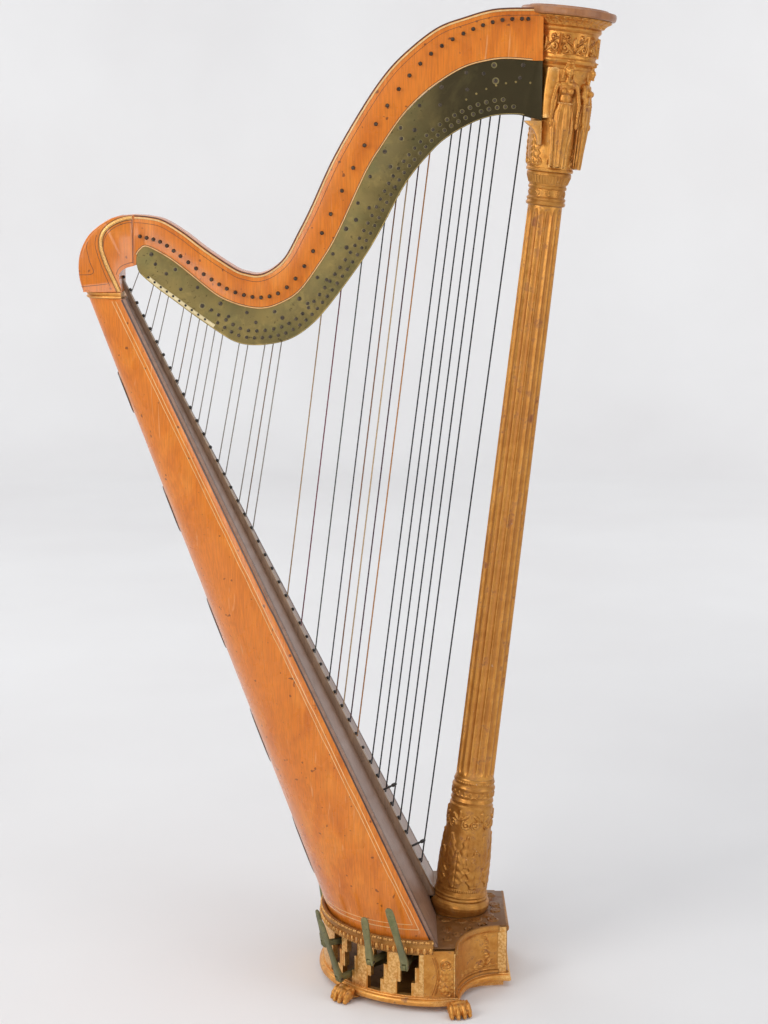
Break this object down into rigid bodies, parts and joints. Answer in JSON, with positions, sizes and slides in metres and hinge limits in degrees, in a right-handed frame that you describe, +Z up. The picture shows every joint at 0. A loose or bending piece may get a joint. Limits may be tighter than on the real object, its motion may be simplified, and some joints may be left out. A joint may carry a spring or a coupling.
{
  "type": "pedal harp",
  "caption": "Antique double-action pedal harp with gilded fluted column, folding pedals, brass action plates and varnished soundbox.",
  "frame": {"origin": "middle of the bounding box, on the floor", "axes": "+X from the soundbox to the column, +Y the player's left, +Z up"},
  "size_m": [0.9, 0.4716, 1.7001],
  "materials": {
    "veneer": "gloss varnish",
    "gilt": "worn gilding",
    "gilt_base": "worn gilding",
    "action_brass": "patinated",
    "soundboard_wood": "aged varnish",
    "rib_wood": "dark varnish",
    "inner_wood": "bare",
    "pin_steel": "darkened",
    "bridge_brass": "worn",
    "peg_black": "polished",
    "gut": "satin",
    "wire": "wound",
    "pedal_brass": "patinated",
    "iron": "oiled"
  },
  "bodies": {
    "frame": {"action_plate_left": "action_brass", "action_plate_right": "action_brass", "base_bottom": "gilt_base", "base_cornice": "gilt_base", "base_front": "gilt_base", "base_top": "gilt_base", "base_wall": "gilt_base", "body_foot_block": "inner_wood", "body_shell": "veneer", "bridge_pins": "bridge_brass", "capital_abacus": "gilt", "capital_bell": "gilt", "capital_frieze": "gilt", "column_foot": "gilt", "column_necking": "gilt", "column_shaft": "gilt", "fork_discs": "bridge_brass", "neck_core": "veneer", "neck_shoulder": "veneer", "paw_front_left": "gilt_base", "paw_front_right": "gilt_base", "paw_rear_left": "gilt_base", "paw_rear_right": "gilt_base", "pedal_axle": "iron", "shoulder_collar": "gilt", "soundboard": "soundboard_wood", "string_bar_inner": "inner_wood", "string_pegs": "peg_black", "string_rib": "rib_wood", "strings_gut": "gut", "strings_wound": "wire", "tuning_pins": "pin_steel"},
    "pedal_A_body": {"pedal_A": "pedal_brass"},
    "pedal_foot_A_body": {"pedal_foot_A": "pedal_brass"},
    "pull_rod_A_body": {"pull_rod_A": "iron"},
    "fork_disc_A_body": {"fork_disc_A": "bridge_brass"},
    "pedal_G_body": {"pedal_G": "pedal_brass"},
    "pedal_foot_G_body": {"pedal_foot_G": "pedal_brass"},
    "pull_rod_G_body": {"pull_rod_G": "iron"},
    "fork_disc_G_body": {"fork_disc_G": "bridge_brass"},
    "pedal_F_body": {"pedal_F": "pedal_brass"},
    "pedal_foot_F_body": {"pedal_foot_F": "pedal_brass"},
    "pull_rod_F_body": {"pull_rod_F": "iron"},
    "fork_disc_F_body": {"fork_disc_F": "bridge_brass"},
    "pedal_E_body": {"pedal_E": "pedal_brass"},
    "pedal_foot_E_body": {"pedal_foot_E": "pedal_brass"},
    "pull_rod_E_body": {"pull_rod_E": "iron"},
    "fork_disc_E_body": {"fork_disc_E": "bridge_brass"},
    "pedal_B_body": {"pedal_B": "pedal_brass"},
    "pedal_foot_B_body": {"pedal_foot_B": "pedal_brass"},
    "pull_rod_B_body": {"pull_rod_B": "iron"},
    "fork_disc_B_body": {"fork_disc_B": "bridge_brass"},
    "pedal_C_body": {"pedal_C": "pedal_brass"},
    "pedal_foot_C_body": {"pedal_foot_C": "pedal_brass"},
    "pull_rod_C_body": {"pull_rod_C": "iron"},
    "fork_disc_C_body": {"fork_disc_C": "bridge_brass"},
    "pedal_D_body": {"pedal_D": "pedal_brass"},
    "pedal_foot_D_body": {"pedal_foot_D": "pedal_brass"},
    "pull_rod_D_body": {"pull_rod_D": "iron"},
    "fork_disc_D_body": {"fork_disc_D": "bridge_brass"}
  },
  "joints": [
    {"name": "pedal_A_press", "type": "hinge", "parent": "frame", "child": "pedal_A_body", "pos_m": [0.232, -0.0255, 0.062], "axis": [0, -1, 0], "range_deg": [0, 20.34], "stiffness_Nm_per_rad": 6, "springref_deg": -20.05},
    {"name": "pedal_foot_A_fold", "type": "hinge", "parent": "pedal_A_body", "child": "pedal_foot_A_body", "pos_m": [0.09829, -0.20767, 0.088], "axis": [0.9681, -0.2504, 0], "range_deg": [0, 79]},
    {"name": "pull_rod_A_slide", "type": "slide", "parent": "frame", "child": "pull_rod_A_body", "axis": [-0.1068, -0.0128, -0.9942], "range_m": [0, 0.01272]},
    {"name": "fork_disc_A_turn", "type": "hinge", "parent": "frame", "child": "fork_disc_A_body", "pos_m": [0.24881, -0.004, 1.57272], "axis": [0, -1, 0], "range_deg": [0, 45.5]},
    {"name": "pedal_G_press", "type": "hinge", "parent": "frame", "child": "pedal_G_body", "pos_m": [0.232, -0.017, 0.062], "axis": [0, -1, 0], "range_deg": [0, 14.48], "stiffness_Nm_per_rad": 6, "springref_deg": -20.05},
    {"name": "pedal_foot_G_fold", "type": "hinge", "parent": "pedal_G_body", "child": "pedal_foot_G_body", "pos_m": [0.0394, -0.18386, 0.088], "axis": [0.8572, -0.515, 0], "range_deg": [0, 75]},
    {"name": "pull_rod_G_slide", "type": "slide", "parent": "frame", "child": "pull_rod_G_body", "axis": [-0.1068, -0.0085, -0.9942], "range_m": [0, 0.00917]},
    {"name": "fork_disc_G_turn", "type": "hinge", "parent": "frame", "child": "fork_disc_G_body", "pos_m": [0.26512, -0.004, 1.57628], "axis": [0, -1, 0], "range_deg": [0, 45.5]},
    {"name": "pedal_F_press", "type": "hinge", "parent": "frame", "child": "pedal_F_body", "pos_m": [0.232, -0.0085, 0.062], "axis": [0, -1, 0], "range_deg": [-11.44, 0]},
    {"name": "pedal_foot_F_fold", "type": "hinge", "parent": "pedal_F_body", "child": "pedal_foot_F_body", "pos_m": [-0.01494, -0.13988, 0.03857], "axis": [0.6521, -0.7581, 0], "range_deg": [0, 68]},
    {"name": "pull_rod_F_slide", "type": "slide", "parent": "frame", "child": "pull_rod_F_body", "axis": [-0.1068, -0.0043, -0.9943], "range_m": [-0.00733, 0]},
    {"name": "fork_disc_F_turn", "type": "hinge", "parent": "frame", "child": "fork_disc_F_body", "pos_m": [0.28138, -0.004, 1.57833], "axis": [0, -1, 0], "range_deg": [-45.5, 0]},
    {"name": "pedal_E_press", "type": "hinge", "parent": "frame", "child": "pedal_E_body", "pos_m": [0.232, 0, 0.062], "axis": [0, -1, 0], "range_deg": [0, 10.35], "stiffness_Nm_per_rad": 6, "springref_deg": -20.05},
    {"name": "pedal_foot_E_fold", "type": "hinge", "parent": "pedal_E_body", "child": "pedal_foot_E_body", "pos_m": [-0.04154, -0.10235, 0.088], "axis": [0.4772, -0.8788, 0], "range_deg": [0, 75]},
    {"name": "pull_rod_E_slide", "type": "slide", "parent": "frame", "child": "pull_rod_E_body", "axis": [-0.1068, 0, -0.9943], "range_m": [0, 0.00667]},
    {"name": "fork_disc_E_turn", "type": "hinge", "parent": "frame", "child": "fork_disc_E_body", "pos_m": [0.30542, -0.004, 1.57685], "axis": [0, -1, 0], "range_deg": [0, 45.5]},
    {"name": "pedal_B_press", "type": "hinge", "parent": "frame", "child": "pedal_B_body", "pos_m": [0.232, 0.0085, 0.062], "axis": [0, -1, 0], "range_deg": [0, 10.2], "stiffness_Nm_per_rad": 6, "springref_deg": -20.05},
    {"name": "pedal_foot_B_fold", "type": "hinge", "parent": "pedal_B_body", "child": "pedal_foot_B_body", "pos_m": [-0.04598, 0.09403, 0.088], "axis": [-0.4384, -0.8988, 0], "range_deg": [0, 74]},
    {"name": "pull_rod_B_slide", "type": "slide", "parent": "frame", "child": "pull_rod_B_body", "axis": [-0.1068, 0.0043, -0.9943], "range_m": [0, 0.00658]},
    {"name": "fork_disc_B_turn", "type": "hinge", "parent": "frame", "child": "fork_disc_B_body", "pos_m": [0.23248, -0.004, 1.56704], "axis": [0, -1, 0], "range_deg": [0, 45.5]},
    {"name": "pedal_C_press", "type": "hinge", "parent": "frame", "child": "pedal_C_body", "pos_m": [0.232, 0.017, 0.062], "axis": [0, -1, 0], "range_deg": [0, 11.47], "stiffness_Nm_per_rad": 6, "springref_deg": -20.05},
    {"name": "pedal_foot_C_fold", "type": "hinge", "parent": "pedal_C_body", "child": "pedal_foot_C_body", "pos_m": [-0.01392, 0.14072, 0.088], "axis": [-0.6561, -0.7547, 0], "range_deg": [0, 72]},
    {"name": "pull_rod_C_slide", "type": "slide", "parent": "frame", "child": "pull_rod_C_body", "axis": [-0.1068, 0.0085, -0.9942], "range_m": [0, 0.00735]},
    {"name": "fork_disc_C_turn", "type": "hinge", "parent": "frame", "child": "fork_disc_C_body", "pos_m": [0.21605, -0.004, 1.55925], "axis": [0, -1, 0], "range_deg": [0, 45.5]},
    {"name": "pedal_D_press", "type": "hinge", "parent": "frame", "child": "pedal_D_body", "pos_m": [0.232, 0.0255, 0.062], "axis": [0, -1, 0], "range_deg": [0, 14.48], "stiffness_Nm_per_rad": 6, "springref_deg": -20.05},
    {"name": "pedal_foot_D_fold", "type": "hinge", "parent": "pedal_D_body", "child": "pedal_foot_D_body", "pos_m": [0.0394, 0.18386, 0.088], "axis": [-0.8572, -0.515, 0], "range_deg": [0, 76]},
    {"name": "pull_rod_D_slide", "type": "slide", "parent": "frame", "child": "pull_rod_D_body", "axis": [-0.1068, 0.0128, -0.9942], "range_m": [0, 0.00917]},
    {"name": "fork_disc_D_turn", "type": "hinge", "parent": "frame", "child": "fork_disc_D_body", "pos_m": [0.19955, -0.004, 1.54974], "axis": [0, -1, 0], "range_deg": [0, 45.5]}
  ],
  "couplings": [
    {"joint": "pull_rod_A_slide", "follows": "pedal_A_press", "m_per_rad": 0.034701},
    {"joint": "fork_disc_A_turn", "follows": "pedal_A_press", "ratio": 2.2124},
    {"joint": "pull_rod_G_slide", "follows": "pedal_G_press", "m_per_rad": 0.0347},
    {"joint": "fork_disc_G_turn", "follows": "pedal_G_press", "ratio": 3.1077},
    {"joint": "pull_rod_F_slide", "follows": "pedal_F_press", "m_per_rad": 0.034699},
    {"joint": "fork_disc_F_turn", "follows": "pedal_F_press", "ratio": 3.9336},
    {"joint": "pull_rod_E_slide", "follows": "pedal_E_press", "m_per_rad": 0.034698},
    {"joint": "fork_disc_E_turn", "follows": "pedal_E_press", "ratio": 4.3478},
    {"joint": "pull_rod_B_slide", "follows": "pedal_B_press", "m_per_rad": 0.034699},
    {"joint": "fork_disc_B_turn", "follows": "pedal_B_press", "ratio": 4.4118},
    {"joint": "pull_rod_C_slide", "follows": "pedal_C_press", "m_per_rad": 0.0347},
    {"joint": "fork_disc_C_turn", "follows": "pedal_C_press", "ratio": 3.9233},
    {"joint": "pull_rod_D_slide", "follows": "pedal_D_press", "m_per_rad": 0.034701},
    {"joint": "fork_disc_D_turn", "follows": "pedal_D_press", "ratio": 3.1077}
  ]
}
